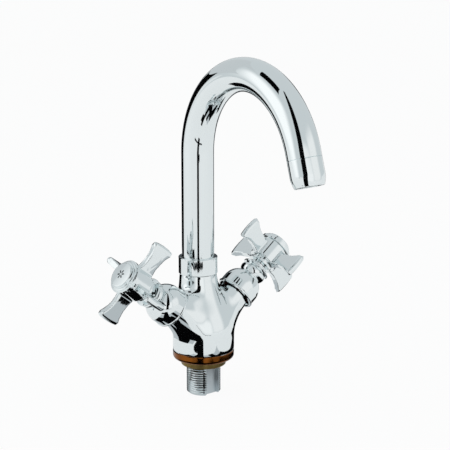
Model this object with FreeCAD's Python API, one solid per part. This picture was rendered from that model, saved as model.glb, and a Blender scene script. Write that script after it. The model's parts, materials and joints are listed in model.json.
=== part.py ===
import FreeCAD, Part
import math
import os

# Kitchen mixer tap. Millimetres. Origin on the worktop, on the axis of the fixing shank.
# +Z is up, -Y is the front, and +X is the hot side.

# Fixing shank, G 3/4 with a keyway down its front
shank_od = 26.4
shank_below = 28.0          # length below the worktop
shank_chamfer = 1.2
keyway_width = 12.4
keyway_floor = 7.9          # from the shank's axis to the keyway's flat floor
spigot_od = 22.0
spigot_len = 9.0            # inside the body
port_spacing = 12.4         # between the hot and cold supply ports
port_back = 1.5             # both ports lie this far behind the shank's axis
port_od = 9.0               # M10 x 1 tapping size
port_depth = 12.0
waterway_od = 7.0
port_seal_od = 8.6
port_seal_section = 1.2

# Base ring and the ring that centres the tap in the worktop's hole
locating_od = 34.6
base_ring_h = 6.6
base_ring_round = 3.0
locating_ring_h = 4.9       # below the worktop's plane
locating_recess_h = 2.0     # held in the base ring
locating_gap = 0.05         # between the ring and its recess
ring_clearance = 0.2

# Body casting
body_od = 47.4
body_foot_round = 0.8
spout_back = 6.4            # the spout stands behind the shank's axis
neck_od = 26.4
neck_flare_end = 66.4       # height where the flare meets the neck
neck_top = 75.0
neck_bore = 14.0
neck_bore_end = 43.0
core_steps = 8
crossing_height = 45.0      # drilling that joins both valve chambers
crossing_od = 7.0
crossing_reach = 14.5
crossing_back = 4.0
supply_top = 26.0

# Valve arms, raised to each side
arm_height = 22.15          # where the arms' axes cross, above the worktop
arm_angle = 36.8            # above the horizontal
arm_od = 24.4
arm_length = 41.0           # from the crossing to the arm's end face
arm_flare = 51.0            # radius of the hollow flare between drum and arm
arm_root_depth = 0.2        # how far under the drum's skin the flare starts
chamber_od = 21.0
chamber_depth = 21.0
seat_bore_od = 16.0
seat_depth = 4.0
inlet_bore_od = 11.0
inlet_bore_end = 6.5        # from the crossing

# Clearances
thread_gap = 0.05
running_gap = 0.05
loose_gap = 0.3
closed_gap = 0.1

# Headwork: bonnet, washer, packing and gland nut
bonnet_washer_t = 1.0
hex_across = 24.0
hex_h = 5.0
bonnet_thread_len = 12.0
bonnet_neck_od = 17.6
bonnet_neck_h = 9.1         # from the hexagon to the shroud's seat
bonnet_top_od = 15.0
bonnet_top_h = 7.6          # thread that carries the gland nut
packing_t = 1.8
gland_h = 12.0
gland_foot_od = 17.8
gland_bulb_od = 21.4
gland_waist_od = 18.6
gland_flange_od = 22.8
gland_flange_t = 1.6
gland_nose_od = 15.6
gland_nose_h = 2.6

# Shroud
shroud_od = 30.8
shroud_wall = 1.1
shroud_overlap = 2.4        # the rim hangs this far below the arm's end
shroud_bead_h = 2.2
shroud_bead_out = 0.6
shroud_straight = 7.4       # from the rim to the dome
shroud_top_od = 18.2

# Valve seat and jumper
seat_bore = 10.0
seat_lip_h = 1.0
seat_lip_od = 12.4
jumper_washer_od = 15.0
jumper_washer_t = 1.9
jumper_od = 16.0
jumper_t = 2.0
jumper_stem_od = 4.8
jumper_stem_len = 8.0
jumper_bolt_od = 3.0
jumper_nut_across = 5.5
jumper_nut_h = 2.0
lift = 3.5                  # rise of the spindle from closed to fully open

# Spindle
spindle_thread_od = 12.0
spindle_thread_len = 14.0
spindle_stem_od = 9.6
spindle_square = 6.6
spindle_square_gap = 0.05

# Cross handle
handle_gap = 1.4            # from the gland nut to the handle's skirt, closed
skirt_od = 19.6
skirt_h = 2.0
skirt_groove_od = 17.0
skirt_groove_h = 1.8
hub_od = 24.0
hub_h = 15.8
hub_rim_od = 26.6
hub_rim_h = 2.2
hub_step_h = 1.3
hub_step_in = 1.2
paddle_height = 6.0         # from the barrel's lower end to the paddles' middle plane
paddle_reach = 35.2
paddle_tip_w = 21.0
paddle_waist_w = 11.8
paddle_root_w = 14.8
paddle_waist_at = 22.0      # radius of the waist
paddle_t = 5.0
paddle_edge_round = 2.2
paddle_corner_round = 2.4
paddle_count = 4
hot_turn = 2.9              # how the closed handles stand about their own axes
cold_turn = -16.1
recess_od = 14.0
recess_depth = 6.5
web_t = 2.5
screw_od = 4.0
screw_head_od = 7.4
screw_head_h = 2.2
screw_len = 9.0
screw_slot_w = 1.0
screw_slot_h = 1.1
cap_od = 19.4
cap_h = 1.5
cap_plug_h = 3.4
cap_plug_wall = 2.0
cap_edge_round = 0.5

# Spout
tube_od = 24.8
tube_wall = 1.2
bend_start = 160.4
bend_radius = 66.8
bend_angle = 161.6
tube_tail = 4.7             # straight after the bend
spout_turn = -4.3           # the spout stands turned from straight ahead
collar_od = 30.2
collar_h = 13.4
collar_round = 0.6
ferrule_flange_h = 2.6
ferrule_flange_od = 26.2
ferrule_reach = 18.0
ferrule_spigot_od = 19.9
ferrule_bore = 14.0
ferrule_plug_h = 7.0
socket_od = 20.0
seal_section = 2.0
seal_low = 4.0              # from the ferrule's lower end to the first seal
seal_pitch = 7.0

# Aerator
housing_len = 19.9
housing_straight = 11.8
mouth_od = 21.8
mouth_bore = 17.6
mouth_lip = 1.4
housing_thread_od = 22.0
housing_thread_depth = 9.0
housing_bore = 19.2
nozzle_plug_h = 4.4
nozzle_thread_len = 6.2
nozzle_bore = 17.6
aerator_washer_t = 1.6
cartridge_len = 10.4
cartridge_wall = 1.1
cartridge_spoke_h = 3.0
cartridge_spoke_t = 0.9
cartridge_hub_od = 5.0
cartridge_spokes = 6
screen_t = 0.8
screen_pitch = 2.4
screen_bar = 0.8
screen_rim = 1.2

V = FreeCAD.Vector
up = V(0, 0, 1)
across = V(0, 1, 0)
centre = V(0, 0, 0)
parts = {}


def turned(start, *moves):
    # Revolves an outline of (radius, height) points about Z. A move of four numbers is an arc
    # through its first pair to its second.
    here = V(start[0], 0, start[1])
    edges = []
    for move in moves + (start,):
        end = V(move[-2], 0, move[-1])
        if len(move) == 4:
            edges.append(Part.Arc(here, V(move[0], 0, move[1]), end).toShape())
        elif end.distanceToPoint(here) > 1e-6:
            edges.append(Part.LineSegment(here, end).toShape())
        here = end
    return Part.Face(Part.Wire(edges)).revolve(centre, up, 360)


def rod(od, low, high, x=0, y=0):
    return Part.makeCylinder(od / 2, high - low, V(x, y, low))


def sleeve(od, bore, low, high):
    return rod(od, low, high).cut(rod(bore, low, high))


def hexagon(width, low, high):
    corner = width / math.sqrt(3)
    points = [V(corner * math.cos(math.radians(60 * i)), corner * math.sin(math.radians(60 * i)), low)
              for i in range(7)]
    return Part.Face(Part.makePolygon(points)).extrude(V(0, 0, high - low))


def chamfered_hexagon(width, low, high):
    # A hexagon whose upper corners are turned off at 30 degrees.
    flat = width / 2
    corner = width / math.sqrt(3)
    drop = (corner - flat) * math.tan(math.radians(30))
    envelope = turned((0, low), (corner, low), (corner, high - drop), (flat, high), (0, high))
    return hexagon(width, low, high).common(envelope)


def square(width, low, high):
    return Part.makeBox(width, width, high - low, V(-width / 2, -width / 2, low))


def o_ring(mean_od, section, height, x=0, y=0):
    return Part.makeTorus(mean_od / 2, section / 2, V(x, y, height))


def round_edges(solid, radius, wanted):
    return solid.makeFillet(radius, [edge for edge in solid.Edges if wanted(edge)])


def on_arm(shape, side, turn=0):
    # Carries a valve piece, made upright about Z, onto the hot (+1) or cold (-1) arm.
    moved = shape.copy()
    moved.rotate(centre, up, turn)
    moved.rotate(centre, across, 90 - arm_angle)
    if side < 0:
        moved.rotate(centre, up, 180)
    moved.translate(V(0, 0, arm_height))
    return moved


def on_spout_axis(shape, turn=0):
    moved = shape.copy()
    moved.rotate(centre, up, turn)
    moved.translate(V(0, spout_back, 0))
    return moved


def at_outlet(shape):
    # Carries a piece, made about Z with the tube's end at z = 0, to the outlet.
    theta = math.radians(bend_angle)
    reach = bend_radius * (1 - math.cos(theta)) + tube_tail * math.sin(theta)
    height = bend_start + bend_radius * math.sin(theta) + tube_tail * math.cos(theta)
    moved = shape.copy()
    moved.rotate(centre, V(1, 0, 0), bend_angle - 180)
    moved.translate(V(0, -reach, height))
    return on_spout_axis(moved, spout_turn)


# Heights along a valve's axis, from where the arms cross
chamber_floor = arm_length - chamber_depth
seat_floor = chamber_floor - seat_depth
seat_top = chamber_floor + seat_lip_h
jumper_low = seat_top + closed_gap
jumper_disc = jumper_low + jumper_washer_t
jumper_top = jumper_disc + jumper_t
spindle_low = jumper_top + loose_gap
spindle_shoulder = spindle_low + spindle_thread_len
bonnet_seat = arm_length + bonnet_washer_t
bonnet_low = bonnet_seat - bonnet_thread_len
hex_top = bonnet_seat + hex_h
shroud_seat = hex_top + bonnet_neck_h
bonnet_top = shroud_seat + bonnet_top_h
shroud_rim = arm_length - shroud_overlap
gland_foot = shroud_seat + shroud_wall
gland_top = gland_foot + gland_h
packing_low = bonnet_top
packing_top = packing_low + packing_t
hub_low = gland_top + handle_gap
barrel_low = hub_low + skirt_h + skirt_groove_h
barrel_top = barrel_low + hub_h
hub_face = barrel_top + hub_rim_h + 2 * hub_step_h
recess_floor = hub_face - recess_depth
spindle_top = recess_floor - web_t - loose_gap
square_low = barrel_low
socket_floor = neck_top - ferrule_reach - 2 * loose_gap
spigot_top = base_ring_h + spigot_len
collar_low = neck_flare_end
collar_top = collar_low + collar_h
tube_low = neck_top + ferrule_flange_h
tube_bore = tube_od - 2 * tube_wall


def mounting_shank():
    bar = turned((0, -shank_below), (shank_od / 2 - shank_chamfer, -shank_below),
                 (shank_od / 2, -shank_below + shank_chamfer), (shank_od / 2, base_ring_h),
                 (spigot_od / 2, base_ring_h), (spigot_od / 2, spigot_top), (0, spigot_top))
    keyway = Part.makeBox(keyway_width, shank_od, shank_below,
                          V(-keyway_width / 2, -keyway_floor - shank_od, -shank_below))
    middle = base_ring_h + spigot_len / 2
    groove_od = spigot_od - 2 * seal_section
    groove = sleeve(spigot_od + 1, groove_od, middle - 0.6 * seal_section, middle + 0.6 * seal_section)
    bar = bar.cut(keyway).cut(groove)
    for side in (1, -1):
        x = side * port_spacing / 2
        seal_seat = rod(port_seal_od, spigot_top - port_seal_section, spigot_top, x, port_back)
        bar = bar.cut(seal_seat.cut(rod(port_seal_od - 3 * port_seal_section, 0, spigot_top, x, port_back)))
        bar = bar.cut(rod(port_od, -shank_below, -shank_below + port_depth, x, port_back))
        bar = bar.cut(rod(waterway_od - 1.2, -shank_below, spigot_top, x, port_back))
    return bar


def shank_seal():
    return o_ring(spigot_od - seal_section, seal_section, base_ring_h + spigot_len / 2)


def port_seals():
    mean_od = port_seal_od - port_seal_section
    height = spigot_top - port_seal_section / 2
    rings = [o_ring(mean_od, port_seal_section, height, side * port_spacing / 2, port_back)
             for side in (1, -1)]
    return Part.makeCompound(rings)


def base_ring():
    # Its underside rests on the worktop and has a recess for the locating ring.
    outer = body_od / 2
    corner = base_ring_round * (1 - math.sqrt(0.5))
    bore = shank_od / 2 + ring_clearance
    recess = locating_od / 2 + locating_gap
    return turned((bore, locating_recess_h), (recess, locating_recess_h), (recess, 0),
                  (outer - base_ring_round, 0), (outer - corner, corner, outer, base_ring_round),
                  (outer, base_ring_h), (bore, base_ring_h))


def locating_ring():
    outer = locating_od / 2
    bore = shank_od / 2 + thread_gap
    return turned((bore, -locating_ring_h), (outer, -locating_ring_h), (outer, 0),
                  (outer - loose_gap, 0), (outer - loose_gap, locating_recess_h), (bore, locating_recess_h))


def body_drum():
    r = body_od / 2
    foot = body_foot_round
    corner = foot * (1 - math.sqrt(0.5))
    low = base_ring_h
    return turned((0, low), (r - foot, low), (r - corner, low + corner, r, low + foot), (r, arm_height),
                  (0, arm_height))


def body_core():
    # Narrows from the drum to the neck while its middle moves back to the spout's axis.
    rings = []
    for i in range(core_steps + 1):
        share = i / core_steps
        blend = (1 - math.cos(math.pi * share)) / 2
        radius = (body_od + (neck_od - body_od) * blend) / 2
        height = arm_height + (neck_flare_end - arm_height) * share
        rings.append(Part.Wire(Part.makeCircle(radius, V(0, spout_back * blend, height))))
    return Part.makeLoft(rings, True, False)


def arm_blank():
    # The straight end of an arm and its hollow flare into a ball just under the drum's skin.
    ball = body_od / 2 - arm_root_depth
    arm = arm_od / 2
    flare_at = math.sqrt((ball + arm_flare) ** 2 - (arm + arm_flare) ** 2)
    lean = math.atan2(arm + arm_flare, flare_at)
    touch = (ball * math.sin(lean), ball * math.cos(lean))
    half = (lean + math.pi / 2) / 2
    middle = (arm + arm_flare - arm_flare * math.sin(half), flare_at - arm_flare * math.cos(half))
    end = flare_at + arm_length
    blank = turned((0, touch[1] / 2), (touch[0] / 2, touch[1] / 2), touch,
                   (middle[0], middle[1], arm, flare_at), (arm, end), (0, end))
    return blank.common(rod(3 * body_od, 0, arm_length))


def valve_bores():
    return [rod(chamber_od, chamber_floor, arm_length), rod(seat_bore_od, seat_floor, chamber_floor),
            rod(inlet_bore_od, inlet_bore_end, seat_floor)]


def half_body():
    # The hot side, drilled; the cold side is its mirror image.
    neck = on_spout_axis(rod(neck_od, neck_flare_end, neck_top))
    solid = body_drum().fuse([body_core(), neck, on_arm(arm_blank(), 1)])
    room = 3 * body_od
    solid = solid.common(Part.makeBox(room, 2 * room, 2 * room, V(0, -room, -room)))
    bores = [on_arm(bore, 1) for bore in valve_bores()]
    bores.append(rod(spigot_od + 2 * running_gap, base_ring_h, spigot_top))
    bores.append(rod(waterway_od, spigot_top, supply_top, port_spacing / 2, port_back))
    bores.append(on_spout_axis(rod(neck_bore, neck_bore_end, socket_floor)))
    bores.append(on_spout_axis(rod(socket_od, socket_floor, neck_top)))
    bores.append(Part.makeCylinder(crossing_od / 2, 2 * crossing_reach,
                                   V(-crossing_reach, crossing_back, crossing_height), V(1, 0, 0)))
    for bore in bores:
        solid = solid.cut(bore)
    return solid


def body_casting():
    hot_half = half_body()
    return hot_half.fuse(hot_half.mirror(centre, V(1, 0, 0))).removeSplitter()


def valve_seat():
    low = seat_floor
    floor = chamber_floor
    seat_od = seat_bore_od - 2 * thread_gap
    lip = seat_lip_h / 2
    mean = (seat_lip_od + seat_bore) / 4
    return turned((seat_bore / 2, low), (seat_od / 2, low), (seat_od / 2, floor),
                  (seat_lip_od / 2, floor), (seat_lip_od / 2, floor + lip),
                  (mean, seat_top, seat_bore / 2, floor + lip))


def bonnet_washer():
    return sleeve(arm_od - 0.4, chamber_od, arm_length, bonnet_seat)


def headwork():
    # Bonnet: threads into the arm, carries the shroud and the gland nut, and guides the spindle.
    thread = spindle_thread_od / 2 + running_gap
    guide = spindle_stem_od / 2 + running_gap
    stop = spindle_shoulder + lift + loose_gap
    outer = chamber_od / 2 - thread_gap
    body = turned((thread, bonnet_low), (outer - 0.8, bonnet_low), (outer, bonnet_low + 0.8),
                  (outer, bonnet_seat), (bonnet_neck_od / 2, bonnet_seat),
                  (bonnet_neck_od / 2, shroud_seat), (bonnet_top_od / 2, shroud_seat),
                  (bonnet_top_od / 2, bonnet_top), (guide, bonnet_top), (guide, stop), (thread, stop))
    nut = chamfered_hexagon(hex_across, bonnet_seat, hex_top)
    return body.fuse(nut.cut(rod(bonnet_neck_od - 1, bonnet_seat - 1, hex_top + 1))).removeSplitter()


def gland_packing():
    return sleeve(bonnet_top_od, spindle_stem_od + 2 * running_gap, packing_low, packing_top)


def gland_nut():
    bore = bonnet_top_od / 2 + thread_gap
    guide = spindle_stem_od / 2 + running_gap
    flange_low = gland_top - gland_nose_h - gland_flange_t
    flange_top = gland_top - gland_nose_h
    bulb_at = (gland_foot + flange_low) / 2 + 0.6
    rim = 0.35
    return turned((bore, gland_foot), (gland_foot_od / 2, gland_foot),
                  (gland_bulb_od / 2, bulb_at, gland_waist_od / 2, flange_low),
                  (gland_flange_od / 2 - rim, flange_low), (gland_flange_od / 2, flange_low + rim),
                  (gland_flange_od / 2, flange_top - rim), (gland_flange_od / 2 - rim, flange_top),
                  (gland_nose_od / 2, flange_top), (gland_nose_od / 2, gland_top - rim),
                  (gland_nose_od / 2 - rim, gland_top), (guide, gland_top), (guide, packing_top),
                  (bore, packing_top))


def shroud():
    outer = shroud_od / 2
    inner = outer - shroud_wall
    rim = shroud_rim
    dome = rim + shroud_straight
    top = shroud_seat + shroud_wall
    lip = shroud_top_od / 2
    rise = top - dome
    dome_r = ((outer - lip) ** 2 + rise ** 2) / (2 * (outer - lip))
    hub = outer - dome_r
    half = math.atan2(rise, lip - hub) / 2
    inside = dome_r - shroud_wall
    inner_end = math.sqrt(inside ** 2 - (shroud_seat - dome) ** 2) + hub
    inner_half = math.atan2(shroud_seat - dome, inner_end - hub) / 2
    bead_mid = rim + shroud_bead_h / 2
    return turned((inner, rim), (outer, rim), (outer + shroud_bead_out, bead_mid, outer, rim + shroud_bead_h),
                  (outer, dome), (hub + dome_r * math.cos(half), dome + dome_r * math.sin(half), lip, top),
                  (bonnet_top_od / 2 + thread_gap, top), (bonnet_top_od / 2 + thread_gap, shroud_seat),
                  (inner_end, shroud_seat),
                  (hub + inside * math.cos(inner_half), dome + inside * math.sin(inner_half), inner, dome))


def jumper():
    disc = rod(jumper_od, jumper_disc, jumper_top)
    stem = rod(jumper_stem_od, jumper_top, jumper_top + jumper_stem_len)
    bolt = rod(jumper_bolt_od, jumper_low - jumper_nut_h - 0.6, jumper_disc)
    return disc.fuse([stem, bolt])


def jumper_washer():
    return sleeve(jumper_washer_od, jumper_bolt_od + 2 * thread_gap, jumper_low, jumper_disc)


def jumper_nut():
    nut = hexagon(jumper_nut_across, jumper_low - jumper_nut_h, jumper_low)
    return nut.cut(rod(jumper_bolt_od + 2 * thread_gap, jumper_low - jumper_nut_h, jumper_low))


def spindle():
    thread = rod(spindle_thread_od, spindle_low, spindle_shoulder)
    stem = rod(spindle_stem_od, spindle_shoulder, square_low)
    head = square(spindle_square, square_low, spindle_top)
    bar = thread.fuse([stem, head])
    hollow = rod(jumper_stem_od + 2 * running_gap, spindle_low, jumper_top + jumper_stem_len + 2 * lift)
    screw_hole = rod(screw_od + 2 * thread_gap, recess_floor - screw_len - 2 * loose_gap, spindle_top)
    return bar.cut(hollow).cut(screw_hole)


def paddle():
    # One flat arm of the cross, waisted in its width and round on every edge.
    root = hub_od / 2 - 2
    waist = paddle_waist_at
    tip = paddle_reach
    half = paddle_t / 2
    flank = tip - paddle_corner_round
    edges = []
    for side in (1, -1):
        edges.append(Part.Arc(V(root, -half, side * paddle_root_w / 2),
                              V(waist, -half, side * paddle_waist_w / 2),
                              V(tip - 1.2, -half, side * paddle_tip_w / 2)).toShape())
    low = V(root, -half, -paddle_root_w / 2)
    high = V(root, -half, paddle_root_w / 2)
    end_low = V(tip - 1.2, -half, -paddle_tip_w / 2)
    end_high = V(tip - 1.2, -half, paddle_tip_w / 2)
    edges.append(Part.LineSegment(low, high).toShape())
    edges.append(Part.Arc(end_low, V(tip, -half, 0), end_high).toShape())
    outline = Part.Wire(Part.__sortEdges__(edges))
    blank = Part.Face(outline).extrude(V(0, paddle_t, 0))
    corners = round_edges(blank, paddle_corner_round,
                          lambda e: e.BoundBox.XMin > flank - 1 and e.BoundBox.YLength > paddle_t - 0.01)
    return round_edges(corners, paddle_edge_round,
                       lambda e: e.BoundBox.YLength < 0.01 and e.BoundBox.XMax > root + 0.01)


def cross_handle():
    rim = hub_rim_od / 2
    rim_top = barrel_top + hub_rim_h
    step = rim_top + hub_step_h
    edge = 0.4
    hub = turned((0, hub_low), (skirt_od / 2 - edge, hub_low), (skirt_od / 2, hub_low + edge),
                 (skirt_od / 2, hub_low + skirt_h - edge), (skirt_od / 2 - edge, hub_low + skirt_h),
                 (skirt_groove_od / 2, hub_low + skirt_h), (skirt_groove_od / 2, barrel_low),
                 (hub_od / 2 - edge, barrel_low), (hub_od / 2, barrel_low + edge), (hub_od / 2, barrel_top),
                 (rim - edge, barrel_top), (rim, barrel_top + edge), (rim, rim_top - edge),
                 (rim - edge, rim_top), (rim - hub_step_in, rim_top), (rim - hub_step_in, step - edge),
                 (rim - hub_step_in - edge, step), (rim - 2 * hub_step_in, step),
                 (rim - 2 * hub_step_in, hub_face), (0, hub_face))
    arm = paddle()
    arm.translate(V(0, 0, barrel_low + paddle_height))
    arms = []
    for i in range(paddle_count):
        copy = arm.copy()
        copy.rotate(centre, up, 360 * i / paddle_count)
        arms.append(copy)
    handle = hub.fuse(arms)
    stem_hole = rod(spindle_stem_od + 2 * thread_gap, hub_low, square_low)
    socket = square(spindle_square + 2 * spindle_square_gap, square_low, recess_floor - web_t)
    screw_hole = rod(screw_od + 2 * thread_gap, recess_floor - web_t, recess_floor)
    recess = rod(recess_od, recess_floor, hub_face)
    return handle.cut([stem_hole, socket, screw_hole, recess])


def handle_screw():
    top = recess_floor + screw_head_h
    head = rod(screw_head_od, recess_floor, top)
    slot = Part.makeBox(screw_head_od, screw_slot_w, screw_slot_h,
                        V(-screw_head_od / 2, -screw_slot_w / 2, top - screw_slot_h))
    return head.fuse(rod(screw_od, recess_floor - screw_len, recess_floor)).cut(slot)


def index_cap():
    plug = recess_od / 2 - thread_gap
    top = hub_face + cap_h
    edge = cap_edge_round
    corner = edge * (1 - math.sqrt(0.5))
    hollow = plug - cap_plug_wall
    low = hub_face - cap_plug_h
    return turned((0, hub_face), (hollow, hub_face), (hollow, low), (plug, low), (plug, hub_face),
                  (cap_od / 2, hub_face),
                  (cap_od / 2, top - edge), (cap_od / 2 - corner, top - corner, cap_od / 2 - edge, top),
                  (0, top))


def spout_collar():
    # Ring nut: threaded on the neck, its lip holds the ferrule's flange down.
    outer = collar_od / 2
    bore = neck_od / 2 + thread_gap
    lip = tube_low + closed_gap
    edge = collar_round
    hole = tube_od / 2 + 3 * running_gap
    nut = turned((bore, collar_low), (outer - edge, collar_low), (outer, collar_low + edge),
                 (outer, collar_top - edge), (outer - edge, collar_top),
                 (hole, collar_top), (hole, lip), (bore, lip))
    return on_spout_axis(nut)


def spout_ferrule():
    low = neck_top - ferrule_reach
    spigot = ferrule_spigot_od / 2
    blank = turned((ferrule_bore / 2, low), (spigot - 0.8, low), (spigot, low + 0.8), (spigot, neck_top),
                   (ferrule_flange_od / 2, neck_top), (ferrule_flange_od / 2, tube_low),
                   (tube_bore / 2, tube_low), (tube_bore / 2, tube_low + ferrule_plug_h),
                   (ferrule_bore / 2, tube_low + ferrule_plug_h))
    for height in seal_heights():
        blank = blank.cut(sleeve(ferrule_spigot_od + 1, socket_od - 2 * seal_section,
                                 height - 0.6 * seal_section, height + 0.6 * seal_section))
    return on_spout_axis(blank)


def seal_heights():
    low = neck_top - ferrule_reach + seal_low
    return [low, low + seal_pitch]


def spout_seals():
    rings = [o_ring(socket_od - seal_section, seal_section, height) for height in seal_heights()]
    return on_spout_axis(Part.makeCompound(rings))


def spout_tube():
    theta = math.radians(bend_angle)
    start = V(0, 0, tube_low)
    turn_in = V(0, 0, bend_start)
    middle = V(0, -bend_radius * (1 - math.cos(theta / 2)), bend_start + bend_radius * math.sin(theta / 2))
    turn_out = V(0, -bend_radius * (1 - math.cos(theta)), bend_start + bend_radius * math.sin(theta))
    finish = turn_out + V(0, -math.sin(theta), math.cos(theta)) * tube_tail
    upright = Part.LineSegment(start, turn_in).toShape()
    bend = Part.Arc(turn_in, middle, turn_out).toShape()
    tail = Part.LineSegment(turn_out, finish).toShape()
    path = Part.Wire([upright, bend, tail])
    outer = Part.Face(Part.Wire(Part.makeCircle(tube_od / 2, start)))
    inner = Part.Face(Part.Wire(Part.makeCircle(tube_bore / 2, start)))
    return on_spout_axis(path.makePipe(outer.cut(inner)), spout_turn)


def outlet_nozzle():
    # Brazed into the tube's end; its lower thread carries the aerator's housing.
    male = housing_thread_od / 2 - thread_gap
    return at_outlet(turned((nozzle_bore / 2, -nozzle_thread_len), (male - 0.5, -nozzle_thread_len),
                            (male, 0.5 - nozzle_thread_len), (male, 0), (tube_bore / 2, 0),
                            (tube_bore / 2, nozzle_plug_h), (nozzle_bore / 2, nozzle_plug_h)))


def aerator_housing():
    outer = tube_od / 2
    mouth = mouth_od / 2
    drop = -housing_len
    edge = 0.4
    bend = -(housing_straight + housing_len) / 2
    seam = 0.35
    shoulder = outer - 0.3 * (outer - mouth)
    hole = mouth_bore / 2
    return at_outlet(turned((housing_thread_od / 2, 0), (outer - seam, 0), (outer, -seam),
                            (outer, -housing_straight), (shoulder, bend, mouth, drop + edge),
                            (mouth - edge, drop), (hole + edge, drop), (hole, drop + edge),
                            (hole, drop + mouth_lip), (housing_bore / 2, drop + mouth_lip),
                            (housing_bore / 2, -housing_thread_depth),
                            (housing_thread_od / 2, -housing_thread_depth)))


def aerator_washer():
    high = -nozzle_thread_len
    return at_outlet(sleeve(housing_thread_od - 2 * thread_gap, nozzle_bore, high - aerator_washer_t, high))


def aerator_cartridge():
    top = -nozzle_thread_len - aerator_washer_t
    low = top - cartridge_len
    outer = housing_bore / 2 - thread_gap
    inner = outer - cartridge_wall
    shell = turned((inner, low), (outer, low), (outer, -housing_thread_depth),
                   (housing_thread_od / 2 - thread_gap, -housing_thread_depth),
                   (housing_thread_od / 2 - thread_gap, top), (inner, top))
    pieces = [rod(cartridge_hub_od, low, low + cartridge_spoke_h)]
    for i in range(cartridge_spokes):
        spoke = Part.makeBox(inner + 0.3, cartridge_spoke_t, cartridge_spoke_h,
                             V(0, -cartridge_spoke_t / 2, low))
        spoke.rotate(centre, up, 360 * i / cartridge_spokes)
        pieces.append(spoke)
    return at_outlet(shell.fuse(pieces))


def flow_screen():
    # A round grid of bars that rests on the cartridge's spokes.
    r = housing_bore / 2 - thread_gap - cartridge_wall - running_gap
    low = -nozzle_thread_len - aerator_washer_t - cartridge_len + cartridge_spoke_h
    grid = [sleeve(2 * r, 2 * (r - screen_rim), low, low + screen_t)]
    count = int(r / screen_pitch)
    for i in range(-count, count + 1):
        length = 2 * math.sqrt(r * r - (i * screen_pitch) ** 2) - screen_rim
        start = i * screen_pitch - screen_bar / 2
        grid.append(Part.makeBox(length, screen_bar, screen_t, V(-length / 2, start, low)))
        grid.append(Part.makeBox(screen_bar, length, screen_t, V(start, -length / 2, low)))
    disc = rod(2 * r, low, low + screen_t)
    return at_outlet(grid[0].fuse(grid[1:]).common(disc).removeSplitter())


parts["body_casting"] = body_casting()
parts["base_ring"] = base_ring()
parts["locating_ring"] = locating_ring()
parts["mounting_shank"] = mounting_shank()
parts["shank_seal"] = shank_seal()
parts["port_seals"] = port_seals()
parts["spout_collar"] = spout_collar()
for side, label, turn in ((1, "hot", hot_turn), (-1, "cold", cold_turn)):
    parts[label + "_valve_seat"] = on_arm(valve_seat(), side)
    parts[label + "_headwork"] = on_arm(headwork(), side)
    parts[label + "_headwork_washer"] = on_arm(bonnet_washer(), side)
    parts[label + "_gland_packing"] = on_arm(gland_packing(), side)
    parts[label + "_gland_nut"] = on_arm(gland_nut(), side)
    parts[label + "_shroud"] = on_arm(shroud(), side)
    parts[label + "_jumper"] = on_arm(jumper(), side)
    parts[label + "_jumper_washer"] = on_arm(jumper_washer(), side)
    parts[label + "_jumper_nut"] = on_arm(jumper_nut(), side)
    parts[label + "_spindle"] = on_arm(spindle(), side, turn)
    parts[label + "_handle"] = on_arm(cross_handle(), side, turn)
    parts[label + "_handle_screw"] = on_arm(handle_screw(), side, turn)
    parts[label + "_index_cap"] = on_arm(index_cap(), side, turn)
parts["spout_tube"] = spout_tube()
parts["spout_ferrule"] = spout_ferrule()
parts["spout_seals"] = spout_seals()
parts["outlet_nozzle"] = outlet_nozzle()
parts["aerator_housing"] = aerator_housing()
parts["aerator_washer"] = aerator_washer()
parts["aerator_cartridge"] = aerator_cartridge()
parts["flow_screen"] = flow_screen()

os.makedirs("parts", exist_ok=True)
for name, shape in parts.items():
    shape.exportStep("parts/" + name + ".step")
    print(name, "volume", round(shape.Volume), "valid", shape.isValid(), "solids", len(shape.Solids))
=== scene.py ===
import bpy
import json
import math
from mathutils import Matrix, Vector


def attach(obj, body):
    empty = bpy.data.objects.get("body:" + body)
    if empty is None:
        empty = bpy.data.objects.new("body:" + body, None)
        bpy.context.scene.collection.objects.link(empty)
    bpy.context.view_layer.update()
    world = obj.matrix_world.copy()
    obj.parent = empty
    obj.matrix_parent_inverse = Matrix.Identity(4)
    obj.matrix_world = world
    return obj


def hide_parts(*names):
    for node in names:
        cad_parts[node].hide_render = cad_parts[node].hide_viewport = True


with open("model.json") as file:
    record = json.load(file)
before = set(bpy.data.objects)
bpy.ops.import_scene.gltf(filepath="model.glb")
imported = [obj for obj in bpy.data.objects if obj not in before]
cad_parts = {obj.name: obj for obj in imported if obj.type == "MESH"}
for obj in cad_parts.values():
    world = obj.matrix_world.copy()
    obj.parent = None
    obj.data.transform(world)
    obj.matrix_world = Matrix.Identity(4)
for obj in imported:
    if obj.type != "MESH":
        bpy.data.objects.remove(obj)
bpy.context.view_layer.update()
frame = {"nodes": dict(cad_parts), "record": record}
nodes = frame["nodes"]
mm = 0.001
# how close, in millimetres, a solid piece's outline comes to the lathe's axis, where cleanMesh merges it
poleRadius = 0.001
print("frame loaded:", len(nodes), "nodes")

# the camera stands where the photograph was taken from
shot = {"azimuth": -39.16, "elevation": 13.65, "distance": 1.2, "aim": (0.02154, 0.0, 0.1019),
        "focalPixels": 1557.5, "imageWidth": 450}


def addCamera():
    turn, tilt = math.radians(shot["azimuth"]), math.radians(shot["elevation"])
    back = Vector((math.sin(turn) * math.cos(tilt), -math.cos(turn) * math.cos(tilt), math.sin(tilt)))
    bpy.ops.object.camera_add(location=Vector(shot["aim"]) + back * shot["distance"])
    camera = bpy.context.object
    camera.rotation_mode = "QUATERNION"
    camera.rotation_quaternion = (-back).to_track_quat("-Z", "Y")
    camera.data.sensor_width = 36
    camera.data.lens = 36 * shot["focalPixels"] / shot["imageWidth"]
    camera.data.clip_start, camera.data.clip_end = 0.01, 50
    bpy.context.scene.camera = camera


addCamera()
print("camera placed")


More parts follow.
